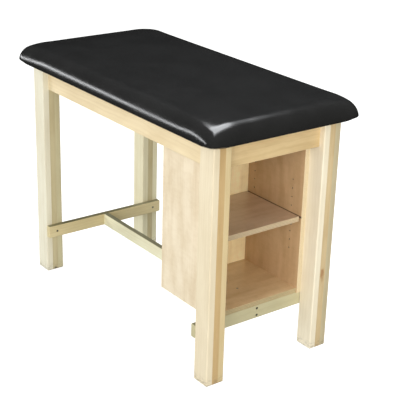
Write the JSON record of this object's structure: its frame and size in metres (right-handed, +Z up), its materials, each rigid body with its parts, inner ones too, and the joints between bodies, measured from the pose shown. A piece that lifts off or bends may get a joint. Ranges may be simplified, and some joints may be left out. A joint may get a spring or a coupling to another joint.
{
  "type": "medical exam table",
  "caption": "Wooden exam and taping table with a padded vinyl top on laminated square legs, an H-shaped stretcher and an open end cabinet with an adjustable shelf.",
  "frame": {"origin": "on the floor, under the centre of the padded top", "axes": "+X along the top towards the cabinet end, -Y out of the front long side, +Z up"},
  "size_m": [1.22, 0.61, 0.919],
  "materials": {
    "maple": "clear lacquer",
    "maple_core": "clear lacquer",
    "maple_rail": "clear lacquer",
    "maple_stretcher": "clear lacquer",
    "birch_plywood": "clear lacquer",
    "deck_plywood": "raw",
    "black_vinyl": "satin vinyl-coated fabric",
    "zinc_steel": "zinc plated"
  },
  "bodies": {
    "table": {"deck": "deck_plywood", "cushion": "black_vinyl", "leg_front_left_outer_board": "maple", "leg_front_left_core_board": "maple_core", "leg_front_left_inner_board": "maple", "leg_front_right_outer_board": "maple", "leg_front_right_core_board": "maple_core", "leg_front_right_inner_board": "maple", "leg_back_left_outer_board": "maple", "leg_back_left_core_board": "maple_core", "leg_back_left_inner_board": "maple", "leg_back_right_outer_board": "maple", "leg_back_right_core_board": "maple_core", "leg_back_right_inner_board": "maple", "rail_front": "maple_rail", "rail_back": "maple_rail", "rail_left_end": "maple_rail", "rail_right_end": "maple_rail", "cross_stretcher_left": "maple_stretcher", "cross_stretcher_right": "maple_stretcher", "long_stretcher": "maple_stretcher", "cabinet_side_front": "birch_plywood", "cabinet_side_back": "birch_plywood", "cabinet_back": "birch_plywood", "cabinet_floor": "birch_plywood", "cabinet_cleat_front": "maple_rail", "cabinet_cleat_back": "maple_rail", "shelf_supports": "zinc_steel", "cross_stretcher_screws": "zinc_steel", "long_stretcher_screws": "zinc_steel", "cabinet_floor_screw": "zinc_steel"},
    "shelf": {"shelf": "birch_plywood"}
  },
  "joints": [
    {"name": "shelf_slide", "type": "slide", "parent": "table", "child": "shelf", "axis": [1, 0, 0], "range_m": [0, 0.3]}
  ]
}
